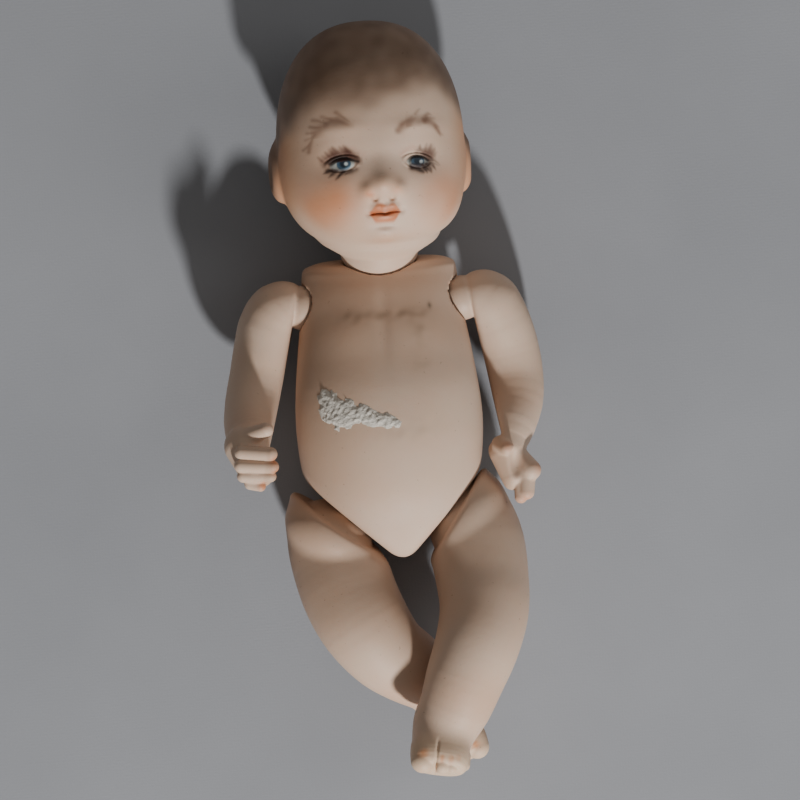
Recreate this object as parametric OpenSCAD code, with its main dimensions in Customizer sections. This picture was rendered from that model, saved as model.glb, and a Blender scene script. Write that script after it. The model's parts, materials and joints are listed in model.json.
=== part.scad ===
// Jointed all-porcelain baby doll, 7 inch class, lying on its back.
// X points to the doll's left side, Y to its crown and Z to its front.
// The origin is the middle of the flat on the back, which rests on a table.

/* [Torso] */
// Half of the width across the belly
belly_half = 22.2; // [21:0.1:23]
// Depth of the torso at the belly, back to front
belly_depth = 31; // [29:0.5:33]
// Thickness of the poured porcelain wall
wall = 2.3; // [1.8:0.1:2.6]
// Lean of the neck opening towards the front, in degrees
neck_lean = 16; // [12:1:20]

/* [Head] */
// Half of the head's width without the ears
head_half = 21.9; // [20:0.1:23]
// Radius of the ball at the foot of the neck
neck_ball = 9.65; // [9.2:0.05:9.8]
// How far the head is turned to the doll's left, in degrees
head_turn = 6; // [0:1:10]
// How far the crown leans to the doll's left, in degrees
head_tip = 1.5; // [0:0.5:3]

/* [Arms] */
// Radius of the ball on each arm
arm_ball = 5.35; // [5:0.05:5.5]
// Gap between an arm's flat face and the torso
arm_gap = 1.9; // [1.7:0.1:2.2]
// Swing of the left arm below the line of the body, in degrees
left_arm_swing = 18; // [0:1:20]
// Swing of the right arm, in degrees
right_arm_swing = 2; // [-20:1:10]
// Spread of the left arm away from the body, in degrees
left_arm_spread = 2.4; // [0:0.2:6]
// Spread of the right arm away from the body, in degrees
right_arm_spread = 6.8; // [0:0.2:8]

/* [Legs] */
// Radius of the dome on each leg
hip_ball = 10.7; // [10.4:0.1:10.9]
// Gap between a leg's flat face and the torso
hip_gap = 3; // [2.8:0.1:3.3]
// How far the right hip's seat sits towards the crotch, past the left's
right_hip_drop = 2; // [0:0.5:3]
// Rock of the left leg about its bar, in degrees
left_leg_rock = 6.5; // [2:0.5:8]
// Rock of the right leg about its bar, in degrees
right_leg_rock = -12; // [-13:0.5:-8]
// Swing of the left leg, in degrees
left_leg_swing = -4.6; // [-6:0.2:0]
// Swing of the right leg, in degrees
right_leg_swing = 20; // [16:1:22]

/* [Stringing] */
// Radius of the brass wire of the hooks
wire = 0.65; // [0.5:0.05:0.75]
// Radius of the elastic cord
cord = 0.75; // [0.6:0.05:0.8]

/* [Hidden] */

bisque = "#d8bba6";
elastic_white = "#e9e4d8";
brass_wire = "#b8923f";
beech = "#c9a36b";

clear = 0.35;        // gap round every ball
fit = 0.05;          // gap round a bar in its hole
big = 120;           // side of the blocks that cut flats

// Hips: the middle of each flat hip face and its outward direction.
hip_tilt = 40;
hip = [11.8, -23.3, 14.5];
hip_axis = [cos(hip_tilt), -sin(hip_tilt), 0];
hip_offset = 5.4;    // the dome's centre lies this far inside the leg
hip_hole = 7.2;      // radius of the hole in the hip face
dome_hole = 4;       // radius of the hole in the leg's dome
hip_centre = hip + (hip_gap + hip_offset) * hip_axis;
right_drop = -right_hip_drop * [sin(hip_tilt), cos(hip_tilt), 0];
right_face = 1.3;    // the right hip face is ground this much deeper

// Shoulders: the same for the arms.
shoulder_tilt = 7;
shoulder = [18.8, 26, 13.5];
shoulder_axis = [cos(shoulder_tilt), sin(shoulder_tilt), 0];
knob_hole = 3.3;     // radius of the bore through each arm's ball

// Neck: the rim's middle, its axis and the ball's centre.
neck_axis = [0, cos(neck_lean), sin(neck_lean)];
neck_rim = [0, 35.6, 13.5];
neck_centre = neck_rim + 5 * neck_axis;
neck_bore = 6;       // radius of the opening up into the head
bar_r = 1.2;         // neck bar
pin_r = 0.7;         // bars cast across the limbs

// The two hip axes meet on the body's middle plane.
meet = hip - hip[0] / hip_axis[0] * hip_axis;
arm_meet = shoulder - shoulder[0] / shoulder_axis[0] * shoulder_axis;

// Stations of the torso: height, half width, back, front, squareness.
top = belly_depth;
torso_rows = [
    [-36.2, 2.0, 11.0, 17.0, 2.0],
    [-35.6, 6.0, 8.5, 19.0, 2.0],
    [-33.0, 11.5, 5.5, 21.5, 2.1],
    [-28.0, 15.6, 2.2, 25.0, 2.2],
    [-20.0, 18.6, -0.2, top - 2.4, 2.3],
    [-12.0, belly_half - 1.1, -0.7, top - 0.5, 2.3],
    [-4.0, belly_half, -0.8, top, 2.3],
    [5.0, belly_half - 0.4, -0.7, top - 0.8, 2.3],
    [14.0, 20.9, -0.6, top - 3.0, 2.4],
    [22.0, 19.9, 0.0, top - 5.2, 2.5],
    [28.0, 19.3, 1.6, top - 7.2, 2.5],
    [32.5, 18.2, 3.8, top - 9.4, 2.4],
    [35.2, 15.8, 5.6, top - 11.2, 2.3],
    [36.8, 12.6, 7.0, top - 12.6, 2.1],
    [37.4, 9.0, 8.5, top - 14.0, 2.0]];

// Stations of a limb: middle, then half width and half depth.
leg_rows = [
    [0.0, 0.0, 0.0, 10.3, 9.8],
    [0.9, -0.2, 0.1, 11.6, 11.0],
    [6.8, -3.6, 1.8, 12.2, 11.7],
    [12.0, -10.2, 4.6, 11.8, 11.8],
    [15.4, -16.4, 7.8, 11.0, 11.2],
    [18.2, -24.5, 11.3, 10.0, 10.3],
    [20.3, -32.0, 12.0, 9.1, 9.1],
    [21.1, -38.5, 11.5, 8.0, 8.1],
    [21.5, -43.5, 10.6, 6.9, 6.9],
    [21.9, -47.0, 10.0, 5.4, 5.6]];
foot_axis = [0.32, -0.68, 0.66];
foot_heel = [21.4, -43.2, 10.4];
foot_rows = [            // along the foot, drop to the sole, half width, half height
    [-6.6, -0.2, 2.4, 2.2],
    [-5.4, 0.0, 4.8, 4.6],
    [-1.5, 0.2, 6.4, 6.2],
    [3.5, 0.9, 6.7, 5.4],
    [8.0, 1.7, 7.1, 4.2],
    [11.4, 2.2, 6.6, 3.3],
    [13.0, 2.4, 4.6, 2.0]];

arm_rows = [
    [arm_gap, 1.0, 0.0, 5.2, 5.4],
    [arm_gap + 0.7, 0.8, 0.0, 6.3, 6.6],
    [6.0, -1.2, 0.0, 7.2, 7.1],
    [8.1, -6.5, 0.0, 7.0, 7.0],
    [8.8, -13.0, 0.2, 7.0, 7.0],
    [8.6, -19.0, 1.6, 6.9, 7.1],
    [7.3, -24.5, 6.0, 6.3, 6.6],
    [5.6, -28.4, 11.0, 5.6, 5.8],
    [4.2, -31.4, 15.2, 4.9, 4.9]];
left_hand_rows = [
    [3.9, -34.4, 17.2, 5.0, 4.2],
    [4.4, -38.0, 19.0, 5.4, 4.2],
    [4.2, -42.6, 20.6, 4.4, 3.8],
    [3.8, -46.4, 21.6, 2.6, 2.2]];
right_hand_rows = [
    [3.8, -33.4, 18.0, 5.3, 5.2],
    [3.5, -35.6, 21.0, 6.0, 6.6],
    [3.0, -37.4, 24.0, 5.8, 6.6],
    [2.8, -38.6, 26.2, 3.4, 3.8]];

// ---- helpers ----
function power(v, e) = sign(v) * pow(abs(v), e);
function pick(list, i) = list[max(0, min(len(list) - 1, i))];
function unit(v) = v / norm(v);
function head3(v) = [v[0], v[1], v[2]];

// A smooth curve through four rows of numbers.
function blend(a, b, c, d, t) =
    0.5 * (2 * b + (c - a) * t + (2 * a - 5 * b + 4 * c - d) * t * t
        + (3 * b - a - 3 * c + d) * t * t * t);
function refine(rows, n) = [
    for (i = [0 : len(rows) - 2]) for (k = [0 : n - 1])
        blend(pick(rows, i - 1), rows[i], rows[i + 1], pick(rows, i + 2), k / n),
    rows[len(rows) - 1]];

// A closed solid through rings of points, with a flat cap at each end.
module skin(rings) {
    n = len(rings[0]);
    m = len(rings);
    side = [for (j = [0 : m - 2]) for (i = [0 : n - 1]) let (k = (i + 1) % n)
        each [[j * n + i, (j + 1) * n + k, j * n + k],
              [j * n + i, (j + 1) * n + i, (j + 1) * n + k]]];
    first = [for (i = [0 : n - 1]) i];
    last = [for (i = [0 : n - 1]) m * n - 1 - i];
    polyhedron([for (r = rings) each r], concat([first, last], side));
}

// A limb's ring: an ellipse across the direction t of the limb.
function limb_ring(c, t, a, b, n) =
    let (w = unit(cross([0, 0, 1], t)), d = cross(t, w))
    [for (i = [0 : n - 1]) let (q = 360 * i / n)
        c + a * cos(q) * w + b * sin(q) * d];
function limb_rings(rows, start, inset, n, stiff = 2) = [
    for (i = [0 : len(rows) - 1])
        let (along = unit(head3(pick(rows, i + 1)) - head3(pick(rows, i - 1))),
             s = max(0, min(1, (i - stiff) / 2)), t = unit((1 - s) * start + s * along))
        limb_ring(head3(rows[i]), t, rows[i][3] - inset, rows[i][4] - inset, n)];

// A ball with its far side cut flat and a hole along X.
module ball_end(radius, from, to, hole) {
    difference() {
        intersection() {
            sphere(radius, $fn = 64);
            translate([from, -radius, -radius])
                cube([to - from, 2 * radius, 2 * radius]);
        }
        rotate([0, 90, 0]) cylinder(h = 3 * radius, r = hole, center = true, $fn = 48);
    }
}

// A ring of wire or cord round the Z axis.
module ring(major, minor) {
    rotate_extrude($fn = 32) translate([major, 0]) circle(minor, $fn = 24);
}

// A rod from one point to another.
module rod(a, b, r) {
    v = b - a;
    translate(a) rotate([0, acos(v[2] / norm(v)), atan2(v[1], v[0])])
        cylinder(h = norm(v), r = r, $fn = 24);
}

// A hook along -X: an eye round the origin and a smaller eye at the far end.
module hook(eye, far) {
    color(brass_wire) union() {
        ring(eye, wire);
        rod([-eye, 0, 0], [-far + eye, 0, 0], wire);
        translate([-far, 0, 0]) ring(eye, wire);
    }
}

// The elastic's end loop in the far eye of a hook.
module end_loop(eye, far) {
    loop = wire + cord + 0.15;
    color(elastic_white) union() {
        translate([-far - eye, 0, 0]) rotate([90, 0, 0]) ring(loop, cord);
        rod([-far - eye - loop, 0, 0], [-far - eye - loop - 1.6, 0, 0], cord);
    }
}
function loop_end(eye, far) = far + eye + wire + cord + 0.15 + 1.6;

// ---- places ----
module at_neck() {
    translate(neck_centre) rotate([neck_lean, 0, 0]) rotate([0, 0, 90]) children();
}
module turned_head() {
    translate(neck_centre) rotate(head_tip, [0, 0, -1]) rotate(head_turn, neck_axis)
        translate(-neck_centre) children();
}
module at_left_shoulder(rock = true) {
    translate(shoulder) rotate(left_arm_swing, shoulder_axis)
        rotate([0, 0, shoulder_tilt + (rock ? left_arm_spread : 0)]) children();
}
module at_right_shoulder(rock = true) {
    mirror([1, 0, 0]) translate(shoulder) rotate(right_arm_swing, shoulder_axis)
        rotate([0, 0, shoulder_tilt + (rock ? right_arm_spread : 0)]) children();
}
module at_left_hip(rock = true) {
    translate(hip_centre) rotate(left_leg_swing, hip_axis)
        rotate([0, 0, (rock ? left_leg_rock : 0) - hip_tilt]) children();
}
module at_right_hip(rock = true) {
    mirror([1, 0, 0]) translate(hip_centre + right_drop)
        rotate(right_leg_swing, hip_axis)
        rotate([0, 0, (rock ? right_leg_rock : 0) - hip_tilt]) children();
}

// ---- torso ----
function torso_ring(row, inset, n) =
    let (a = row[1] - inset, back = row[2] + inset, front = row[3] - inset,
         e = 2 / row[4])
    [for (i = [0 : n - 1]) let (q = -360 * i / n)
        [a * power(cos(q), e), row[0],
         (back + front) / 2 + (front - back) / 2 * power(sin(q), e)]];

// Removes everything beyond a plane through a point.
module cut_beyond(point, tilt) {
    translate(point) rotate([0, 0, tilt])
        translate([0, -big / 2, -big / 2]) cube([big, big, big]);
}
module both_sides() {
    children();
    mirror([1, 0, 0]) children();
}

module torso_form(inset, steps, n) {
    rows = refine(torso_rows, steps);
    kept = [for (r = rows) if (r[1] - inset > 1.5 && r[0] < 37.5 - inset
        && r[0] > -36.3 + 2 * inset) r];
    difference() {
        skin([for (r = kept) torso_ring(r, inset, n)]);
        translate([-big / 2, -big / 2, inset - big]) cube(big);
        cut_beyond(hip - inset * hip_axis, -hip_tilt);
        mirror([1, 0, 0]) cut_beyond(hip - (inset + right_face) * hip_axis, -hip_tilt);
        both_sides() cut_beyond(shoulder - inset * shoulder_axis, shoulder_tilt);
        translate(neck_rim + (0.6 - inset) * neck_axis) rotate([neck_lean, 0, 0])
            translate([-big / 2, 0, -big / 2]) cube(big);
    }
}

module hip_opening() {
    rotate([0, 90, -hip_tilt])
        cylinder(h = 10, r = hip_hole, center = true, $fn = 64);
}

module torso() {
    color(bisque) difference() {
        torso_form(0, 2, 32);
        torso_form(wall, 1, 24);
        translate(hip) hip_opening();
        mirror([1, 0, 0]) translate(hip + right_drop) hip_opening();
        both_sides() translate(shoulder) rotate([0, 90, shoulder_tilt])
            cylinder(h = 10, r = arm_ball + clear, center = true, $fn = 64);
        translate(neck_centre) sphere(neck_ball + clear, $fn = 64);
    }
}

// ---- head ----
head_centre = [-1.2, 61.5, 23.2];
function swell(d, towards, height, width) =
    height * exp(-pow(acos(min(1, d * unit(towards))) / width, 2));
function skull(d) =
    let (up = d[1] > 0 ? 30 : 23, deep = d[2] > 0 ? 21.3 : 22.8,
         p = d[1] > 0 ? 2.35 : 2.7,
         h = pow(pow(abs(d[0]) / head_half, 2.2) + pow(abs(d[2]) / deep, 2.2), 1 / 2.2))
    pow(pow(h, p) + pow(abs(d[1]) / up, p), -1 / p);
function features(d) =
    let (s = [abs(d[0]), d[1], d[2]])
    swell(s, [0, -10.5, 22], 3.4, 9)
        + swell(s, [11, -12, 16], 1.1, 22)
        + swell(s, [0, -20, 15], 1.2, 13)
        + swell(s, [22, -3.5, -3], 2.0, 10)
        + swell(s, [9, -4.5, 20], -1.1, 11)
        + swell(s, [0, -17, -17], -3.2, 28);
function head_point(lat, lon, inset) =
    let (d = [cos(lat) * cos(lon), sin(lat), cos(lat) * sin(lon)])
    head_centre + (skull(d) + (inset > 0 ? 0 : features(d)) - inset) * d;
module head_form(inset, bands, n) {
    skin([for (j = [1 : bands - 1])
        [for (i = [0 : n - 1]) head_point(-90 + 180 * j / bands, -360 * i / n, inset)]]);
}

module head() {
    color(bisque) turned_head() difference() {
        union() {
            head_form(0, 26, 40);
            at_neck() rotate([0, 0, 180]) ball_end(neck_ball, -neck_ball, 7.5, 1);
            rod(neck_centre, neck_centre + 13 * neck_axis, 8.9);
        }
        head_form(wall + 0.4, 14, 24);
        rod(neck_centre - 12 * neck_axis, neck_centre + 16 * neck_axis, neck_bore);
        at_neck() rotate([90, 0, 0])
            cylinder(h = 2 * (neck_bore + 1.6), r = bar_r + fit, center = true, $fn = 32);
    }
}

module neck_bar() {
    color(beech) turned_head() at_neck() rotate([90, 0, 0])
        cylinder(h = 2 * (neck_bore + 1.4), r = bar_r, center = true, $fn = 32);
}
neck_eye = bar_r + wire + 0.3;
neck_far = 12.6;
module neck_hook() {
    turned_head() at_neck() rotate([90, 0, 0]) hook(neck_eye, neck_far);
}
module neck_loop() {
    turned_head() at_neck() rotate([90, 0, 0]) end_loop(neck_eye, neck_far);
}

// ---- arms ----
pin_eye = pin_r + wire + 0.3;
arm_far = 8;
module limb_bar(half) {
    color(bisque) cylinder(h = 2 * half, r = pin_r, center = true, $fn = 24);
}
module arm_form(rows) {
    color(bisque) difference() {
        union() {
            skin(limb_rings(refine(rows, 2), [1, 0, 0], 0, 20));
            rotate([0, 90, 0]) cylinder(h = 4, r = arm_ball - 0.45, $fn = 48);
            ball_end(arm_ball, -arm_ball, arm_ball, 1);
        }
        skin(limb_rings([for (i = [2 : 7]) arm_rows[i]], [0.7, -0.7, 0], wall, 16));
        translate([-8, 0, 0]) rotate([0, 90, 0])
            cylinder(h = 16, r = knob_hole, $fn = 48);
        cylinder(h = 2 * (knob_hole + 1.2) + 2 * fit, r = pin_r + fit,
            center = true, $fn = 24);
    }
}
module left_arm() { at_left_shoulder() arm_form(concat(arm_rows, left_hand_rows)); }
module right_arm() { at_right_shoulder() arm_form(concat(arm_rows, right_hand_rows)); }
module left_arm_bar() { at_left_shoulder() limb_bar(knob_hole + 1.2); }
module right_arm_bar() { at_right_shoulder() limb_bar(knob_hole + 1.2); }
module left_arm_hook() { at_left_shoulder(false) hook(pin_eye, arm_far); }
module right_arm_hook() { at_right_shoulder(false) hook(pin_eye, arm_far); }
module left_arm_loop() { at_left_shoulder(false) end_loop(pin_eye, arm_far); }
module right_arm_loop() { at_right_shoulder(false) end_loop(pin_eye, arm_far); }

// ---- legs ----
leg_far = 14;
leg_pin = 9.2;       // half length of the bar cast across the thigh
module foot_form() {
    side = unit(cross([0, 0, 1], foot_axis));
    sole = cross(side, foot_axis);   // points out of the sole
    rows = refine(foot_rows, 2);
    skin([for (r = rows)
        [for (i = [0 : 19]) let (q = 18 * i)
            foot_heel + r[0] * foot_axis + r[1] * sole - r[3] * sin(q) * sole
                + r[2] * cos(q) * side]]);
}
module leg_form() {
    color(bisque) translate([-hip_offset, 0, 0]) difference() {
        union() {
            skin(limb_rings(refine(leg_rows, 2), [1, 0, 0], 0, 24));
            foot_form();
            translate([hip_offset, 0, 0])
                ball_end(hip_ball, -hip_ball, -hip_offset + 1, 1);
        }
        skin(limb_rings([for (i = [2 : 7]) leg_rows[i]], [1, 0, 0], wall, 16));
        rotate([0, 90, 0]) cylinder(h = 18, r = dome_hole, center = true, $fn = 48);
        translate([hip_offset, 0, 0]) cylinder(h = 2 * leg_pin + 2 * fit,
            r = pin_r + fit, center = true, $fn = 24);
    }
}
module left_leg() { at_left_hip() leg_form(); }
module right_leg() { at_right_hip() leg_form(); }
module left_leg_bar() { at_left_hip() limb_bar(leg_pin); }
module right_leg_bar() { at_right_hip() limb_bar(leg_pin); }
module left_leg_hook() { at_left_hip(false) hook(pin_eye, leg_far); }
module right_leg_hook() { at_right_hip(false) hook(pin_eye, leg_far); }
module left_leg_loop() { at_left_hip(false) end_loop(pin_eye, leg_far); }
module right_leg_loop() { at_right_hip(false) end_loop(pin_eye, leg_far); }

// ---- stringing ----
ring_major = 2.5;
ring_centre = meet + [0, 1.0, 0];
neck_end = neck_centre - loop_end(neck_eye, neck_far) * neck_axis;
knot_r = 1.5;
gap = 0.3;
arm_end = shoulder - loop_end(pin_eye, arm_far) * shoulder_axis;
leg_reach = loop_end(pin_eye, leg_far);
leg_end = hip_centre - leg_reach * hip_axis;
ring_top = ring_centre + [0, ring_major, 0];
strand_foot = ring_top + [0, wire + cord + 0.15, 0];

module stringing_ring() {
    color(brass_wire) translate(ring_centre) rotate([0, 90, 0]) ring(ring_major, wire);
}
// One strand from a hook's loop to the far point, with its knot.
module strand(end, axis, to) {
    start = end - (gap + knot_r) * axis;
    translate(start) sphere(knot_r, $fn = 32);
    rod(start, to, cord);
}
module neck_elastic() {
    color(elastic_white) union() {
        translate(ring_top) ring(wire + cord + 0.15, cord);
        strand(neck_end, neck_axis, strand_foot);
    }
}
module arm_elastic() {
    color(elastic_white) union()
        both_sides() strand(arm_end, shoulder_axis, arm_meet - 0.2 * shoulder_axis);
}
module leg_elastic() {
    color(elastic_white) union() {
        strand(leg_end, hip_axis, meet - 0.6 * hip_axis);
        mirror([1, 0, 0])
            strand(leg_end + right_drop, hip_axis, meet - 0.6 * hip_axis);
    }
}

torso();
head();
neck_bar();
neck_hook();
neck_loop();
right_arm();
right_arm_bar();
right_arm_hook();
right_arm_loop();
left_arm();
left_arm_bar();
left_arm_hook();
left_arm_loop();
right_leg();
right_leg_bar();
right_leg_hook();
right_leg_loop();
left_leg();
left_leg_bar();
left_leg_hook();
left_leg_loop();
stringing_ring();
neck_elastic();
arm_elastic();
leg_elastic();
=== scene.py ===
"""Looks of the jointed porcelain baby doll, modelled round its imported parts. Lengths are in millimetres until mesh()."""

import json
import math

import bpy
import numpy as np
import openvdb as vdb
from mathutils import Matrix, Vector


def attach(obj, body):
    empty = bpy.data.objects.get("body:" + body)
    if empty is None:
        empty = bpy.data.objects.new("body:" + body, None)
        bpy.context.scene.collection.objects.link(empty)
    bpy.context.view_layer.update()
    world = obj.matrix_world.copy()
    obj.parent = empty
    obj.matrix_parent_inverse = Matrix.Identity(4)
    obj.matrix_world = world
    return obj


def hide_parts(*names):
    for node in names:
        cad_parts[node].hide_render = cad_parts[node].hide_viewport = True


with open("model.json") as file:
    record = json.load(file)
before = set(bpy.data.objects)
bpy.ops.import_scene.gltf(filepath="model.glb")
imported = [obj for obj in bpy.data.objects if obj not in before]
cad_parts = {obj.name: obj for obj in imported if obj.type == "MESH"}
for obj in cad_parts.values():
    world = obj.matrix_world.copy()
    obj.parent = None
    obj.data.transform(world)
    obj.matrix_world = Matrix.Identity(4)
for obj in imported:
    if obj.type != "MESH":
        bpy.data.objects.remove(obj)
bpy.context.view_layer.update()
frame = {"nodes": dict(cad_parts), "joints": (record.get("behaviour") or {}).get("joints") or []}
MM = 0.001
JOINTS = {j["name"]: j for j in frame["joints"]}
WALL = 2.3


def pivot(joint):
    return np.array(JOINTS[joint]["pos_m"]) / MM


def turn(about, degrees):
    a = np.array(about, float)
    a /= np.linalg.norm(a)
    t = math.radians(degrees)
    k = np.array([[0, -a[2], a[1]], [a[2], 0, -a[0]], [-a[1], a[0], 0]])
    return np.eye(3) + math.sin(t) * k + (1 - math.cos(t)) * k @ k


# ---- distance fields ----
def smax(a, b, k):
    h = np.clip(0.5 + 0.5 * (a - b) / k, 0, 1)
    return b + (a - b) * h + k * h * (1 - h)


def smin(a, b, k):
    return -smax(-a, -b, k)


def smoothstep(lo, hi, x):
    t = np.clip((x - lo) / (hi - lo), 0, 1)
    return t * t * (3 - 2 * t)


def bell(x, y, cx, cy, sx, sy):
    return np.exp(-(((x - cx) / sx) ** 2) - ((y - cy) / sy) ** 2)


def ball(p, c, r):
    return np.linalg.norm(p - np.asarray(c), axis=1) - r


def ellipsoid(p, c, r):
    q = p - np.asarray(c)
    r = np.asarray(r, float)
    k0 = np.linalg.norm(q / r, axis=1)
    k1 = np.linalg.norm(q / (r * r), axis=1)
    return k0 * (k0 - 1) / np.maximum(k1, 1e-6)


def capsule(p, a, b, ra, rb):
    a, b = np.asarray(a, float), np.asarray(b, float)
    v = b - a
    t = np.clip((p - a) @ v / (v @ v), 0, 1)
    return np.linalg.norm(p - a - t[:, None] * v, axis=1) - (ra + (rb - ra) * t)


def off_axis(p, at, direction):
    q = p - at
    along = q @ direction
    return np.linalg.norm(q - along[:, None] * direction, axis=1), along


def curve(rows, step=1.6):
    """A smooth run of rows through the given ones, about one each step of length."""
    rows = np.array(rows, float)
    out = []
    for i in range(len(rows) - 1):
        a, b = rows[max(i - 1, 0)], rows[i]
        c, d = rows[i + 1], rows[min(i + 2, len(rows) - 1)]
        n = max(2, int(np.linalg.norm((c - b)[:3]) / step))
        t = (np.arange(n) / n)[:, None]
        out.append(0.5 * (2 * b + (c - a) * t + (2 * a - 5 * b + 4 * c - d) * t**2
                          + (3 * b - a - 3 * c + d) * t**3))
    out.append(rows[-1:])
    return np.concatenate(out)


def sweep(p, rows):
    """The skin of a ball whose middle and radius follow the rows."""
    line = curve(rows).astype(np.float32)
    middle = line[:, :3].mean(0)
    c, r = line[:, :3] - middle, line[:, 3]
    out = np.empty(len(p), np.float32)
    for i in range(0, len(p), 40000):
        q = p[i:i + 40000].astype(np.float32) - middle
        square = (q * q).sum(1)[:, None] - 2 * q @ c.T + (c * c).sum(1)
        f = np.sqrt(np.maximum(square, 1e-6)) - r
        k = np.clip(f.argmin(1), 1, len(r) - 2)
        at = np.arange(len(q))
        before, here, after = f[at, k - 1], f[at, k], f[at, k + 1]
        bend = np.maximum(before - 2 * here + after, 1e-3)
        t = np.clip((before - after) / (2 * bend), -1, 1)
        out[i:i + 40000] = here + t * (after - before) / 2 + t * t * bend / 2
    return out


def section(p, rows, square=2.2):
    """A body along y whose sections are rounded boxes: rows are y, half width, back, front, middle."""
    r = curve(rows, 0.8)
    order = np.argsort(r[:, 0])
    r = r[order]
    y = p[:, 1]
    a, back, front, cx = (np.interp(y, r[:, 0], r[:, i]) for i in (1, 2, 3, 4))
    x, z = p[:, 0] - cx, p[:, 2] - (back + front) / 2
    half = (front - back) / 2
    n = ((np.abs(x) / a) ** square + (np.abs(z) / half) ** square) ** (1 / square)
    away = np.hypot(x, z)
    d = np.where(n > 1e-3, away * (1 - 1 / np.maximum(n, 1e-3)), -np.minimum(a, half))
    return smax(d, smax(y - r[-1, 0], r[0, 0] - y, 0.5), 0.8)


def surface(field, low, high, step, closer=()):
    """The field's zero surface as points and faces, denser inside the given boxes."""
    low, high = np.array(low, float), np.array(high, float)
    count = np.ceil((high - low) / step / 8).astype(int) * 8 + 8
    values = np.full(count, 3.0, np.float32)
    cells = np.stack(np.meshgrid(*[np.arange(0, n, 8) for n in count], indexing="ij"), -1).reshape(-1, 3)
    middle = field((low + (cells + 3.5) * step).astype(np.float32))
    reach = 8 * step * 0.88 * 1.35 + 0.6
    inside = np.arange(8)
    block = np.stack(np.meshgrid(inside, inside, inside, indexing="ij"), -1).reshape(-1, 3)
    near = cells[np.abs(middle) < reach]
    for c, m in zip(cells, middle):
        if m <= -reach:
            values[c[0]:c[0] + 8, c[1]:c[1] + 8, c[2]:c[2] + 8] = -3.0
    for i in range(0, len(near), 400):
        at = (near[i:i + 400, None, :] + block[None]).reshape(-1, 3)
        values[at[:, 0], at[:, 1], at[:, 2]] = np.clip(field((low + at * step).astype(np.float32)), -3, 3)
    grid = vdb.FloatGrid(3.0)
    grid.copyFromArray(values)
    points, quads = grid.convertToQuads(isovalue=0.0)
    points = np.array(points, float) * step + low
    faces = np.array(quads, int)
    corners = points[faces]
    normal = np.cross(corners[:, 2] - corners[:, 0], corners[:, 3] - corners[:, 1])
    if (np.einsum("ij,ij->i", corners.mean(1) - points.mean(0), normal)).sum() < 0:
        faces = faces[:, ::-1]
    settle(field, points, 3)
    faces = [tuple(f) for f in faces]
    for box_low, box_high in closer:
        points, faces = split(points, faces, box_low, box_high)
        settle(field, points, 2)
    return points, faces


def settle(field, points, rounds, e=0.06):
    """Moves points straight onto the zero surface."""
    shift = np.eye(3) * e
    for _ in range(rounds):
        d = field(points)
        g = np.stack([(field(points + s) - field(points - s)) / (2 * e) for s in shift], 1)
        g2 = np.maximum((g * g).sum(1), 0.15)
        move = np.clip(d / g2, -0.5, 0.5)[:, None] * g
        points -= move


def split(points, faces, low, high):
    """Cuts each face wholly inside the box into quarters, and mends its neighbours."""
    low, high = np.array(low), np.array(high)
    inside = np.all((points > low) & (points < high), axis=1)
    extra, made = [], {}

    def middle(a, b):
        key = (a, b) if a < b else (b, a)
        if key not in made:
            made[key] = len(points) + len(extra)
            extra.append((points[a] + points[b]) / 2)
        return made[key]

    chosen = [all(inside[v] for v in f) for f in faces]
    out = []
    for f, pick in zip(faces, chosen):
        if pick:
            mids = [middle(f[i], f[(i + 1) % len(f)]) for i in range(len(f))]
            centre = len(points) + len(extra)
            extra.append(points[list(f)].mean(0))
            for i in range(len(f)):
                out.append((f[i], mids[i], centre, mids[i - 1]))
        else:
            out.append(f)
    mended = []
    for f in out:
        if len(f) == 4 and not made:
            mended.append(f)
            continue
        ring = []
        for i in range(len(f)):
            a, b = f[i], f[(i + 1) % len(f)]
            ring.append(a)
            key = (a, b) if a < b else (b, a)
            if key in made:
                ring.append(made[key])
        mended.append(tuple(ring))
    return np.vstack([points, np.array(extra).reshape(-1, 3)]), mended


def mesh(name, points, faces, material, body, nodes=(), colours=None, smooth=True):
    """A piece made from points in millimetres, riding on a body in place of CAD nodes."""
    data = bpy.data.meshes.new(name)
    data.from_pydata((np.asarray(points) * MM).tolist(), [], [list(map(int, f)) for f in faces])
    data.validate()
    if colours is not None:
        layer = data.attributes.new("paint", "FLOAT_COLOR", "POINT")
        rgba = np.ones((len(data.vertices), 4), np.float32)
        rgba[:, :colours.shape[1]] = colours
        layer.data.foreach_set("color", rgba.ravel())
    data.polygons.foreach_set("use_smooth", [smooth] * len(data.polygons))
    data.materials.append(material)
    piece = bpy.data.objects.new(name, data)
    bpy.context.scene.collection.objects.link(piece)
    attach(piece, body)
    if nodes:
        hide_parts(*nodes)
    return piece


# ---- materials ----
def linear(r, g, b):
    c = np.array([r, g, b]) / 255
    return np.where(c <= 0.04045, c / 12.92, ((c + 0.055) / 1.055) ** 2.4)


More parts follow.
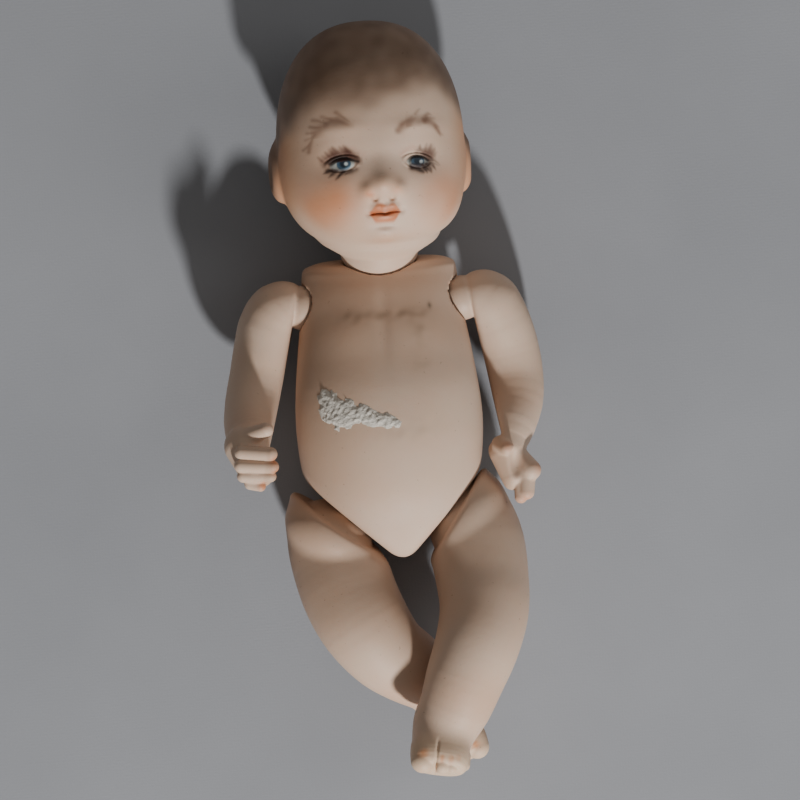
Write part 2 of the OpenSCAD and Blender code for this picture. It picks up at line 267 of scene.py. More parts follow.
class Nodes:
    """A material's node tree, with short calls that add and join nodes."""

    def __init__(self, name):
        self.material = bpy.data.materials.new(name)
        self.material.use_nodes = True
        self.tree = self.material.node_tree
        self.shader = self.tree.nodes["Principled BSDF"]

    def add(self, kind, inputs=None, **settings):
        n = self.tree.nodes.new(kind)
        for k, v in settings.items():
            setattr(n, k, v)
        for k, v in (inputs or {}).items():
            if isinstance(v, bpy.types.NodeSocket):
                self.tree.links.new(v, n.inputs[k])
            else:
                n.inputs[k].default_value = v
        return n

    def coords(self):
        return self.add("ShaderNodeTexCoord").outputs["Object"]

    def noise(self, scale, detail=4, rough=0.55, vector=None):
        return self.add("ShaderNodeTexNoise", {"Vector": vector or self.coords(), "Scale": scale,
                                               "Detail": detail, "Roughness": rough}).outputs["Fac"]

    def span(self, value, lo, hi, to_lo, to_hi):
        return self.add("ShaderNodeMapRange", {"Value": value, "From Min": lo, "From Max": hi,
                                               "To Min": to_lo, "To Max": to_hi}).outputs["Result"]

    def mix(self, a, b, factor, blend="MIX"):
        n = self.add("ShaderNodeMix", data_type="RGBA", blend_type=blend)
        for i, v in ((0, factor), (6, a), (7, b)):
            if isinstance(v, bpy.types.NodeSocket):
                self.tree.links.new(v, n.inputs[i])
            elif i == 0:
                n.inputs[0].default_value = v
            else:
                n.inputs[i].default_value = (*v, 1.0)
        return n.outputs[2]

    def bump(self, heights):
        """heights: pairs of a height socket and its depth in metres."""
        normal = None
        for height, depth in heights:
            inputs = {"Height": height, "Distance": depth, "Strength": 1.0}
            if normal:
                inputs["Normal"] = normal
            normal = self.add("ShaderNodeBump", inputs).outputs["Normal"]
        self.tree.links.new(normal, self.shader.inputs["Normal"])

    def set(self, **sockets):
        for k, v in sockets.items():
            name = k.replace("_", " ")
            if isinstance(v, bpy.types.NodeSocket):
                self.tree.links.new(v, self.shader.inputs[name])
            else:
                self.shader.inputs[name].default_value = v


def bisque_material():
    m = Nodes("bisque")
    paint = m.add("ShaderNodeAttribute", attribute_name="paint").outputs["Color"]
    cloud = m.span(m.noise(70, 5), 0.3, 0.7, 0.0, 1.0)
    grain = m.noise(2600, 3)
    warm = m.mix(paint, tuple(linear(252, 240, 228)), m.span(cloud, 0, 1, 0.0, 0.5), "MULTIPLY")
    specks = m.span(m.noise(900, 2, 0.7), 0.70, 0.78, 0.0, 0.5)
    soiled = m.mix(warm, tuple(linear(150, 128, 108)), specks, "MULTIPLY")
    m.set(Base_Color=soiled, Roughness=m.span(cloud, 0, 1, 0.50, 0.62))
    m.shader.inputs["Subsurface Weight"].default_value = 0.12
    m.shader.inputs["Subsurface Radius"].default_value = (0.9, 0.45, 0.3)
    m.shader.inputs["Subsurface Scale"].default_value = 0.0012
    m.shader.inputs["Specular IOR Level"].default_value = 0.42
    m.bump([(cloud, 0.00006), (grain, 0.00002)])
    return m.material


def simple_material(name, base, other, scale, rough, depth, metal=0.0):
    m = Nodes(name)
    streaks = m.span(m.noise(scale, 5), 0.3, 0.7, 0.0, 1.0)
    fine = m.noise(scale * 6, 3)
    m.set(Base_Color=m.mix(tuple(base), tuple(other), streaks), Roughness=m.span(streaks, 0, 1, *rough))
    m.shader.inputs["Metallic"].default_value = metal
    m.bump([(streaks, depth), (fine, depth * 0.4)])
    return m.material


def elastic_material():
    m = Nodes("elastic")
    wave = m.add("ShaderNodeTexWave", {"Vector": m.coords(), "Scale": 900.0, "Distortion": 1.5, "Detail": 2.0},
                 wave_type="BANDS", bands_direction="DIAGONAL").outputs["Fac"]
    dirt = m.span(m.noise(300, 4), 0.35, 0.7, 0.0, 0.6)
    braid = m.mix(tuple(linear(222, 214, 198)), tuple(linear(176, 164, 142)), wave)
    m.set(Base_Color=m.mix(braid, tuple(linear(150, 132, 108)), dirt), Roughness=m.span(wave, 0, 1, 0.75, 0.9))
    m.shader.inputs["Sheen Weight"].default_value = 0.3
    m.bump([(wave, 0.00012)])
    return m.material


def cloth_material():
    m = Nodes("table_cloth")
    at = m.coords()
    warp = m.add("ShaderNodeTexWave", {"Vector": at, "Scale": 420.0, "Distortion": 0.8, "Detail": 1.0},
                 bands_direction="X").outputs["Fac"]
    weft = m.add("ShaderNodeTexWave", {"Vector": at, "Scale": 420.0, "Distortion": 0.8, "Detail": 1.0},
                 bands_direction="Y").outputs["Fac"]
    weave = m.mix(warp, weft, 0.5)
    cloud = m.span(m.noise(9, 4), 0.3, 0.7, 0.0, 1.0)
    base = m.mix(tuple(CLOTH_DARK), tuple(CLOTH_LIGHT), cloud)
    m.set(Base_Color=m.mix(base, (0.25, 0.255, 0.265), m.span(weave, 0, 1, 0.0, 0.03)), Roughness=0.9)
    m.bump([(weave, 0.000006), (m.noise(1500, 3), 0.00003)])
    return m.material


CLOTH_DARK = linear(146, 149, 155)
CLOTH_LIGHT = linear(158, 161, 167)
BISQUE = bisque_material()
BRASS = simple_material("brass_wire", linear(150, 118, 62), linear(104, 78, 40), 420, (0.28, 0.5), 0.00002, 1.0)
BEECH = simple_material("beech", linear(178, 136, 92), linear(140, 98, 58), 260, (0.5, 0.7), 0.00004)
ELASTIC = elastic_material()
SLIP = simple_material("poured_bisque", linear(214, 190, 172), linear(196, 172, 154), 240, (0.55, 0.7), 0.00003)

SKIN = linear(208, 183, 163)
BLUSH = linear(200, 140, 96)


# ---- torso ----
HIP_TILT = math.radians(40)
HIP_AXIS = np.array([math.cos(HIP_TILT), -math.sin(HIP_TILT), 0])
HIP = np.array([11.8, -23.3, 14.5])
FACE_TILT = {1: 3.0, -1: 7.0}
FACE_SHIFT = {1: 0.9, -1: 0.4}
SHOULDER_SHIFT = {1: 0.1, -1: 1.0}
SHOULDER = pivot("left_arm_swing")
SHOULDER_AXIS = np.array([math.cos(math.radians(7)), math.sin(math.radians(7)), 0])
NECK = pivot("head_turn")
NECK_LEAN = math.radians(16)
NECK_AXIS = np.array([0, math.cos(NECK_LEAN), math.sin(NECK_LEAN)])
TORSO_ROWS = [
    (-38.0, 4.0, 11.0, 18.0, 0), (-36.6, 8.5, 8.3, 20.0, 0), (-33.5, 13.5, 5.3, 22.0, 0),
    (-28.0, 17.6, 2.0, 25.2, -0.2), (-20.0, 20.0, -0.4, 28.6, -0.4), (-12.0, 21.4, -0.9, 30.4, -0.4),
    (-4.0, 22.1, -1.0, 31.0, -0.3), (5.0, 22.0, -0.9, 30.2, -0.2), (14.0, 21.0, -0.8, 27.6, -0.3),
    (22.0, 19.8, -0.2, 25.0, -0.4), (28.0, 19.3, 1.4, 22.9, -0.5), (32.0, 19.0, 3.4, 21.0, -0.5),
    (34.4, 18.6, 5.0, 19.8, -0.4), (35.8, 16.8, 6.2, 18.8, -0.3), (37.0, 13.4, 7.2, 18.0, 0),
    (37.7, 9.5, 8.3, 17.2, 0)]


def torso_outside(p):
    d = section(p, TORSO_ROWS, 2.35)
    d = d + 0.9 * bell(p[:, 0], p[:, 1], 0, -27, 1.6, 6.5) * smoothstep(9, 4, p[:, 2])
    d = d + 0.35 * bell(p[:, 0], p[:, 1], 0, 22, 1.5, 9) * smoothstep(18, 24, p[:, 2])
    d = d - 0.5 * (bell(p[:, 0], p[:, 1], 8, 20, 6, 5) + bell(p[:, 0], p[:, 1], -8, 20, 6, 5)) * smoothstep(14, 22, p[:, 2])
    hips = []
    for side in (1, -1):
        m = np.array([side, 1, 1])
        face = (turn((0, 0, 1), -FACE_TILT[side]) @ HIP_AXIS) * m
        hips.append((p - HIP * m) @ face - FACE_SHIFT[side])
        d = smax(d, (p - SHOULDER * m) @ (SHOULDER_AXIS * m) - SHOULDER_SHIFT[side], 0.8)
    d = smax(d, smax(*hips, 5.0), 2.0)
    d = smax(d, (p - NECK + 5 * NECK_AXIS) @ NECK_AXIS - 0.6, 1.6)
    return smax(d, -p[:, 2], 0.8)


def torso_field(p):
    out = torso_outside(p)
    d = smax(out, -(out + WALL), 0.3)
    for side, joint, at, direction, radius in (
            (1, "left_leg_swing", HIP, HIP_AXIS, 7.2), (-1, "right_leg_swing", HIP, HIP_AXIS, 7.2),
            (1, "left_arm_swing", SHOULDER, SHOULDER_AXIS, 5.7), (-1, "right_arm_swing", SHOULDER, SHOULDER_AXIS, 5.7)):
        m = np.array([side, 1, 1])
        far, along = off_axis(p, pivot(joint), direction * m)
        face = (pivot(joint) - at * m) @ (direction * m)
        d = smax(d, -smax(far - radius, np.abs(along + face) - 5, 0.3), 0.35)
    return smax(d, -ball(p, NECK, 10.0), 0.4)


def blotch(p, at, size, soft=1.0):
    return np.exp(-(((p[:, 0] - at[0]) / size[0]) ** 2 + ((p[:, 1] - at[1]) / size[1]) ** 2) * soft)


def toned(base, layers):
    """Base colour with washes laid over it: each layer is a colour and a strength for each point."""
    out = np.tile(np.asarray(base, float), (len(layers[0][1]), 1))
    for colour, strength in layers:
        s = np.clip(strength, 0, 1)[:, None]
        out = out * (1 - s) + np.asarray(colour) * s
    return out


def wobble(p, size, seed):
    """Smooth repeatable noise between -1 and 1."""
    r = np.random.default_rng(seed)
    out = np.zeros(len(p))
    for k in range(16):
        w = r.normal(size=3)
        w *= r.uniform(0.7, 2.4) / np.linalg.norm(w) / size
        out += np.sin(p @ w * 2.0 + r.uniform(0, 6.28))
    return out / 4


def torso():
    points, faces = surface(torso_field, (-24, -38.5, -1.5), (24, 39.5, 33), 0.45)
    front = smoothstep(10, 16, points[:, 2])
    ragged = 0.75 + 0.5 * wobble(points, 1.6, 3)
    smudge = linear(128, 108, 88)
    band = np.exp(-(((points[:, 1] - 22.6) / 1.5) ** 2)) * smoothstep(-13, -7, points[:, 0]) * smoothstep(13, 8, points[:, 0])
    spots = blotch(points, (8.0, 17.5), (2.2, 3.2)) + 0.8 * blotch(points, (7.4, 10.8), (2.6, 1.6)) + 0.5 * blotch(points, (3, -4), (7, 2.5))
    dash = blotch(points, (10.9, 24.4), (0.45, 0.75))
    colours = toned(SKIN, [
        # painted shade: the front darker towards -x, the side turned from the lamp
        (linear(160, 124, 96), 0.42 * front * smoothstep(4, -18, points[:, 0])),
        # painted shade: the chest darker towards the neck, where it slopes away from the light
        (linear(168, 130, 102), 0.22 * front * smoothstep(2, 22, points[:, 1])),
        # painted highlight: the lower belly lighter where it faces the lamp
        (linear(216, 190, 172), 0.3 * front * bell(points[:, 0], points[:, 1], 5, -24, 14, 12)),
        (smudge, 0.42 * front * band * ragged),
        (smudge, 0.30 * front * spots * ragged),
        (linear(92, 78, 62), 0.8 * front * dash),
        (linear(222, 196, 176), 0.4 * (1 - front))])
    return mesh("torso_shell", points, faces, BISQUE, "torso", ["torso"], colours=colours)


# ---- legs ----
def leg_frame(side):
    """The flat face's middle and outward direction, and the way up the thigh, of one leg."""
    swing, rock = (-4.6, 6.5) if side > 0 else (20, -12)
    r = turn(HIP_AXIS, swing) @ turn((0, 0, 1), rock - 40)
    m = np.array([side, 1, 1])
    joint = "left_leg_swing" if side > 0 else "right_leg_swing"
    return pivot(joint), (r * m[:, None])


LEG_ROWS = {
    1: [(13.8, -22.0, 13.2, 10.8), (16.4, -26.6, 13.8, 11.2), (18.3, -32.6, 15.8, 11.4), (19.1, -40.6, 19.6, 10.9),
        (18.9, -47.6, 23.6, 10.4), (16.7, -55.0, 27.2, 9.8), (13.4, -62.4, 28.3, 9.1), (10.8, -68.6, 28.1, 8.3),
        (8.4, -73.2, 27.6, 7.2), (6.8, -76.2, 27.2, 5.8)],
    -1: [(-14.9, -21.5, 12.6, 10.6), (-15.3, -27.5, 12.6, 11.1), (-14.6, -33.8, 13.5, 11.3), (-12.4, -42.2, 16.4, 11.2),
         (-9.2, -49.3, 18.6, 10.7), (-4.8, -55.9, 17.7, 9.7), (-0.1, -60.1, 14.8, 9.0), (4.3, -63.7, 12.2, 7.9),
         (7.4, -67.6, 10.0, 6.8), (8.8, -71.2, 8.6, 5.7)]}
# Each foot's heel, the way its toes point and the way across it.
FEET = {1: ((7.4, -73.0, 27.6), (-0.13, -0.71, 0.69), (0.985, -0.17, 0.0)),
        -1: ((8.7, -72.8, 9.4), (0.30, -0.87, 0.38), (-0.93, -0.36, -0.09))}
FOOT_ROWS = [(-6.6, 2.4, -2.4, 2.4, 0), (-5.2, 4.6, -4.8, 4.6, 0), (-1.5, 6.2, -6.6, 6.0, 0), (3.5, 6.5, -6.4, 4.9, 0),
             (7.5, 6.8, -5.8, 4.2, 0), (10.4, 6.5, -5.0, 3.2, 0.1), (11.9, 5.7, -4.0, 1.9, 0.3)]
# Each toe: across the foot, height, where it starts and ends, radius.
TOES = [(-3.6, -0.4, 7.0, 10.4, 3.1), (0.7, -0.2, 8.0, 11.2, 2.2), (2.8, -0.5, 8.0, 11.0, 2.0),
        (4.5, -0.9, 8.0, 10.5, 1.8), (5.7, -1.4, 7.5, 9.7, 1.5)]


def foot_space(p, side):
    """Points as across, along and above one foot, from its heel."""
    heel, along, across = (np.array(v) for v in FEET[side])
    along /= np.linalg.norm(along)
    across -= along * (across @ along)
    across /= np.linalg.norm(across)
    above = np.cross(along, across)
    above *= np.sign(above[2])
    q = p - heel
    return np.stack([q @ across, q @ along, q @ above], 1)


def leg_field(side):
    centre, r = leg_frame(side)
    rows = LEG_ROWS[side]
    hole_rows = rows[1:9]

    def field(p):
        local = (p - centre) @ r
        shank = sweep(p, rows)
        q = foot_space(p, side)
        foot = section(q, FOOT_ROWS, 2.5)
        for x, z, start, end, radius in TOES:
            foot = smin(foot, capsule(q, (x, start, z), (x * 1.02, end, z - 0.3), radius, radius * 0.92), 0.35)
        groove = np.exp(-(((q[:, 0] + 0.75) / 0.3) ** 2)) * smoothstep(6.5, 9.5, q[:, 1]) * smoothstep(-4, -1, q[:, 2])
        foot = foot + 0.5 * groove
        foot = smax(foot, -5.6 - q[:, 2], 0.8)
        d = smin(shank, foot, 2.2)
        d = smax(d, -5.4 - local[:, 0], 1.6)
        rim = smax(ellipsoid(local, (-2.4, 0, 0), (8, 12.6, 11.7)), -5.4 - local[:, 0], 1.2)
        d = smin(d, rim, 1.2)
        d = smin(d, smax(ball(p, centre, 10.7), local[:, 0] + 4.4, 0.5), 0.5)
        if len(p):
            hollow = sweep(p, [(c[0], c[1], c[2], c[3] - WALL) for c in hole_rows])
            hollow = smax(hollow, -3.0 - local[:, 0], 0.5)
            hollow = smin(hollow, ball(p, centre, 10.7 - WALL), 0.5)
            far = np.hypot(local[:, 1], local[:, 2])
            bore = smax(far - 4.0, local[:, 0] - 8, 0.5)
            d = smax(d, -smin(hollow, bore, 0.5), 0.3)
        return d

    return field


def leg(side):
    name = "left" if side > 0 else "right"
    centre, r = leg_frame(side)
    rows = np.array(LEG_ROWS[side])
    low = np.minimum((rows[:, :3] - rows[:, 3:]).min(0), centre - 14)
    high = np.maximum((rows[:, :3] + rows[:, 3:]).max(0), centre + 14)
    tip = np.array(FEET[side][0]) + 12 * np.array(FEET[side][1])
    low, high = np.minimum(low, tip - 8) - 1, np.maximum(high, tip + 8) + 1
    field = leg_field(side)
    toe_low, toe_high = tip - (9, 8, 8), tip + (9, 8, 8)
    points, faces = surface(field, low, high, 0.5, closer=[(toe_low, toe_high)])
    q = foot_space(points, side)
    local = (points - centre) @ r
    nail = np.zeros(len(points))
    for i, (x, z, start, end, radius) in enumerate(TOES[:4]):
        size = (1.35, 0.95) if i == 0 else (0.65, 0.65)
        nail += np.exp(-((((q[:, 0] - x + 0.2) / size[0]) ** 2 + ((q[:, 1] - end - 0.2) / size[1]) ** 2)) ** 1.5) * smoothstep(-0.8, 0.8, q[:, 2]) * (0.8 if i < 3 else 0.4)
    # painted highlight: the toes lighter where they face the lamp
    toes = smoothstep(5, 9, q[:, 1]) * smoothstep(9.5, 7.5, np.abs(q[:, 0]))
    knee = np.exp(-(ball(points, rows[6][:3], rows[6][3]) ** 2) / 9) * smoothstep(0, 1, np.exp(-np.linalg.norm(points - rows[6][:3] - (0, -5, 4), axis=1) ** 2 / 90))
    along = points[:, 1]
    # painted shade: the upper thigh darker, strongest on the right leg, as if sloping away from the light
    thigh = smoothstep(-62, -44, along) * smoothstep(2, 9, np.linalg.norm(points - centre, axis=1))
    colours = toned(SKIN, [
        (linear(150, 112, 84), (0.40 if side < 0 else 0.14) * thigh),
        (BLUSH, 0.26 * knee),
        (linear(222, 196, 160), 0.30 * toes),
        (linear(200, 128, 72), 0.75 * nail * (0.9 + 0.2 * wobble(points, 0.6, 5))),
        # painted shade: the flat joint face darker where it sits in the hip socket
        (linear(160, 128, 100), 0.25 * smoothstep(-5.2, -6.5, local[:, 0]))])
    return mesh(f"{name}_leg_porcelain", points, faces, BISQUE, f"{name}_leg", [f"{name}_leg"], colours=colours)


# ---- arms ----
ARM_ROWS = {
    1: [(23.6, 25.6, 13.2, 6.7), (25.4, 24.4, 12.9, 7.2), (27.7, 19.4, 11.5, 7.2), (29.4, 13.2, 9.9, 7.1),
        (30.2, 6.9, 9.8, 6.9), (30.0, 1.0, 11.8, 6.6), (28.5, -4.8, 15.6, 5.7), (27.1, -9.2, 18.2, 4.4)],
    -1: [(-23.6, 26.0, 13.4, 6.7), (-25.4, 25.0, 13.4, 7.2), (-27.5, 21.6, 13.3, 7.3), (-29.1, 16.0, 13.2, 7.2),
         (-30.5, 10.4, 13.6, 7.0), (-31.8, 4.8, 15.6, 6.9), (-32.5, -0.6, 20.0, 6.6), (-32.3, -4.0, 24.6, 5.9),
         (-31.6, -6.0, 28.2, 5.0)]}
# Hands: capsules as two ends and two radii, then how softly each joins.
RIGHT_HAND = [
    ((-33.7, -5.6, 30), (-31.4, -11.2, 31.8), 5.0, 4.3, 1.5),
    ((-34.4, -7.0, 35.2), (-27.8, -7.7, 36.6), 1.7, 1.6, 0.7),
    ((-34.8, -10.0, 35.2), (-27.5, -10.6, 36.2), 1.55, 1.45, 0.4),
    ((-34.5, -12.4, 34.4), (-28.2, -12.8, 35.2), 1.45, 1.35, 0.35),
    ((-33.1, -14.3, 33), (-30.7, -15.0, 33.8), 1.35, 1.2, 0.4),
    ((-33.2, -3.7, 32.4), (-28.5, -2.1, 35.6), 2.3, 1.7, 1.0)]
LEFT_HAND = [
    ((26.9, -11.2, 19), (28.4, -16.5, 19.6), 4.0, 3.2, 1.6),
    ((24.8, -10.6, 18.4), (27.6, -18.3, 19.4), 2.1, 1.9, 1.0),
    ((30.0, -13.3, 20), (32.1, -15.7, 21.6), 2.5, 2.4, 1.0),
    ((31.1, -17.6, 21), (30.8, -20.8, 21.4), 2.0, 1.8, 0.6),
    ((29.7, -18.0, 20.4), (29.4, -21.9, 20.8), 1.7, 1.5, 0.3),
    ((25.3, -9.2, 21), (26.7, -10.2, 24.4), 2.0, 1.7, 0.7)]


def arm_frame(side):
    swing, spread = (18, 2.4) if side > 0 else (2, 6.8)
    r = turn(SHOULDER_AXIS, swing) @ turn((0, 0, 1), 7 + spread)
    m = np.array([side, 1, 1])
    joint = "left_arm_swing" if side > 0 else "right_arm_swing"
    return pivot(joint), r * m[:, None]


def arm_field(side):
    centre, r = arm_frame(side)
    rows = ARM_ROWS[side]
    hand = LEFT_HAND if side > 0 else RIGHT_HAND

    def field(p):
        local = (p - centre) @ r
        d = smax(sweep(p, rows), 1.9 - local[:, 0], 1.2)
        for a, b, ra, rb, soft in hand:
            d = smin(d, capsule(p, a, b, ra, rb), soft)
        if side > 0:
            d = smax(d, -ellipsoid(p, (28.6, -14.0, 24.3), (1.7, 3.8, 2.6)), 0.8)
        far = np.hypot(local[:, 1], local[:, 2])
        neck = smax(smax(far - 4.9, -local[:, 0], 0.2), local[:, 0] - 4, 0.2)
        knob = smax(ball(p, centre, 5.35), local[:, 0] - 4, 0.2)
        d = smin(d, smin(neck, knob, 0.3), 0.4)
        hollow = sweep(p, [(c[0], c[1], c[2], c[3] - WALL) for c in rows[:7]])
        bore = smax(far - 3.3, local[:, 0] - 8, 0.4)
        return smax(d, -smin(smax(hollow, 1.9 + WALL - local[:, 0], 0.5), bore, 0.5), 0.3)

    return field


def arm(side):
    name = "left" if side > 0 else "right"
    rows = np.array(ARM_ROWS[side])
    hand = LEFT_HAND if side > 0 else RIGHT_HAND
    ends = np.array([e for h in hand for e in h[:2]])
    centre, r = arm_frame(side)
    low = np.minimum(np.minimum((rows[:, :3] - rows[:, 3:]).min(0), ends.min(0) - 5.5), centre - 6) - 1
    high = np.maximum(np.maximum((rows[:, :3] + rows[:, 3:]).max(0), ends.max(0) + 5.5), centre + 6) + 1
    hand_low, hand_high = ends.min(0) - (4.5, 3.5, 4.5), ends.max(0) + 4.0
    points, faces = surface(arm_field(side), low, high, 0.45, closer=[(hand_low, hand_high)])
    local = (points - centre) @ r
    tint = np.zeros(len(points))
    if side > 0:
        for at in ((26.9, -9.6, 26), (30.9, -22.2, 22.4), (29.3, -23.1, 21.4), (33.7, -15.3, 22.8)):
            tint += np.exp(-(np.linalg.norm(points - at, axis=1) / 1.5) ** 2)
    else:
        for at, size in (((-26.8, -9.3, 37.4), 1.15), ((-26.8, -11.8, 36.6), 1.1), ((-29.9, -15.1, 34.8), 1.15), ((-27.4, -1.5, 38.6), 1.3)):
            tint += np.exp(-(np.linalg.norm(points - at, axis=1) / size) ** 2) * (1.0 if size < 1.2 else 0.35)
    elbow = np.exp(-(np.linalg.norm(points - rows[-3][:3] - (0, 0, 5.5), axis=1) / 5) ** 2)
    colours = toned(SKIN, [
        (BLUSH, 0.22 * elbow),
        (linear(204, 124, 76), (0.4 if side > 0 else 0.85) * tint),
        # painted shade: the shoulder joint face darker where it sits in the socket
        (linear(160, 128, 100), 0.25 * smoothstep(1.9, 0.8, local[:, 0]))])
    return mesh(f"{name}_arm_porcelain", points, faces, BISQUE, f"{name}_arm", [f"{name}_arm"], colours=colours)


# ---- head ----
HEAD = np.array([-1.2, 61.5, 23.2])
HEAD_TURN = turn((0, 0, -1), 1.5) @ turn(NECK_AXIS, 6)
EYES = [((-9.7, 56.6), 2.75, 1.42, 0.08), ((7.45, 56.35), 2.5, 1.32, -0.05)]
NOSE = (-0.9, 50.3)
LIPS = (-0.6, 45.4)


def head_space(p):
    return NECK + (p - NECK) @ HEAD_TURN


def swell(d, towards, height, width):
    t = np.array(towards, float)
    t /= np.linalg.norm(t)
    return height * np.exp(-((np.degrees(np.arccos(np.clip(d @ t, -1, 1))) / width) ** 2))


def skull(d):
    up = np.where(d[:, 1] > 0, 29.9, 23)
    deep = np.where(d[:, 2] > 0, 21.3, 22.8)
    power = np.where(d[:, 1] > 0, 2.35, 2.6)
    h = ((np.abs(d[:, 0]) / 21.9) ** 2.2 + (np.abs(d[:, 2]) / deep) ** 2.2) ** (1 / 2.2)
    return (h**power + (np.abs(d[:, 1]) / up) ** power) ** (-1 / power)


def relief(q, d):
    """Height of the face's features over the plain skull."""
    x, y = q[:, 0], q[:, 1]
    s = np.stack([np.abs(d[:, 0]), d[:, 1], d[:, 2]], 1)
    out = swell(s, (11, -13, 15), 1.3, 20) + swell(s, (0, -20, 15), 0.9, 12)
    out += swell(d, (14, -15, 7), 1.1, 17) - swell(d, (-13, -16, 8), 0.6, 15)
    out += swell(s, (0, -17, -17), -3.2, 28) + swell(s, (22, -3.5, -3), 0.9, 12)
    front = smoothstep(0.25, 0.6, d[:, 2])
    f = np.zeros(len(q))
    for (ex, ey), w, h, tilt in EYES:
        u, v = x - ex, (y - ey) - tilt * (x - ex)
        f -= 1.25 * bell(u, v, 0, 0.6, 5.0, 3.6)
        lid = np.sqrt((u / w) ** 2 + (v / h) ** 2)
        f += 0.55 * smoothstep(1.15, 0.6, lid)
        f += 0.14 * np.exp(-(((lid - 1.32) / 0.16) ** 2)) * smoothstep(-1.6, 0.4, v)
        f += 0.07 * np.exp(-(((lid - 1.25) / 0.14) ** 2)) * smoothstep(0.2, -1.2, v)
        f -= 0.10 * np.exp(-(((lid - 1.62) / 0.14) ** 2)) * smoothstep(0.4, 1.6, v)
        f += 0.35 * bell(u, y - ey, 0, 8.2, 5.5, 1.8)
    nx, ny = NOSE
    f += 2.5 * bell(x, y, nx, ny + 0.9, 3.2, 3.1) + 0.5 * bell(x, y, nx, ny + 6, 2.2, 3.4)
    f -= 0.5 * bell(x, y, nx, ny + 7.6, 3.6, 2.6)
    f += 1.0 * (bell(x, y, nx - 3.9, ny - 0.2, 1.6, 1.9) + bell(x, y, nx + 3.9, ny, 1.6, 1.9))
    f -= 0.9 * (bell(x, y, nx - 1.9, ny - 1.9, 0.75, 0.55) + bell(x, y, nx + 1.9, ny - 1.9, 0.75, 0.55))
    f -= 0.35 * bell(x, y, nx, ny - 3.1, 0.7, 1.0)
    lx, ly = LIPS
    mid = ly + 0.05 * (x - lx) - 0.35 * np.exp(-(((x - lx) / 0.9) ** 2)) - 0.05
    arch = smoothstep(4.0, 2.6, np.abs(x - lx))
    f += 0.75 * (bell(x, y, lx - 1.5, ly + 1.05, 1.5, 0.85) + bell(x, y, lx + 1.6, ly + 1.1, 1.5, 0.85)) * arch
    f += 0.85 * bell(x, y, lx, ly - 1.1, 2.3, 0.85)
    f -= 0.55 * np.exp(-(((y - mid) / 0.26) ** 2)) * arch
    f -= 0.30 * (bell(x, y, lx - 3.9, ly - 0.1, 0.7, 0.7) + bell(x, y, lx + 3.9, ly + 0.2, 0.7, 0.7))
    f -= 0.45 * bell(x, y, lx, ly - 2.9, 3.0, 0.9)
    f += 0.9 * bell(x, y, lx + 0.3, ly - 5.6, 3.6, 2.4)
    f -= 0.30 * np.exp(-(((y - (ly - 8.8) - 0.012 * (x - lx) ** 2) / 0.8) ** 2)) * smoothstep(10, 5, np.abs(x - lx))
    return out + f * front


def head_outside(q):
    c = q - HEAD
    away = np.linalg.norm(c, axis=1)
    d = c / np.maximum(away, 1e-6)[:, None]
    out = (away - skull(d) - relief(q, d)) * 0.94
    for side in (-1, 1):
        at = HEAD + (side * 21.3, -3.6, -3.2)
        ear = ellipsoid(q, at, (2.9, 7.2, 4.6))
        ear = smax(ear, -ellipsoid(q, at + (side * 3.4, -0.3, 1.0), (1.3, 4.0, 2.2)), 1.2)
        out = smin(out, ear, 1.5)
    stem, along = off_axis(q, NECK, NECK_AXIS)
    rod = smax(stem - 9.3, smax(-1.5 - along, along - 13, 0.5), 0.5)
    collar = smax((stem - 9.4 - 1.5 * (along + 2.2)) * 0.55, smax(-2.4 - along, along - 7, 0.5), 0.8)
    collar = smax(collar, stem - 15, 2.0)
    return smin(out, smin(rod, collar, 0.8), 1.4)


def head_field(p):
    q = head_space(p)
    out = head_outside(q)
    c = q - HEAD
    away = np.linalg.norm(c, axis=1)
    inner = away - skull(c / np.maximum(away, 1e-6)[:, None]) + WALL + 0.6
    stem, along = off_axis(q, NECK, NECK_AXIS)
    bore = smax(stem - 6, -along - 12, 0.4)
    knob = smax(ball(q, NECK, 9.65), along - 7.5, 0.3)
    d = smin(out, knob, 0.4)
    bore = smax(bore, along - 16, 0.4)
    return smax(d, -smin(inner, bore, 0.6), 0.3)


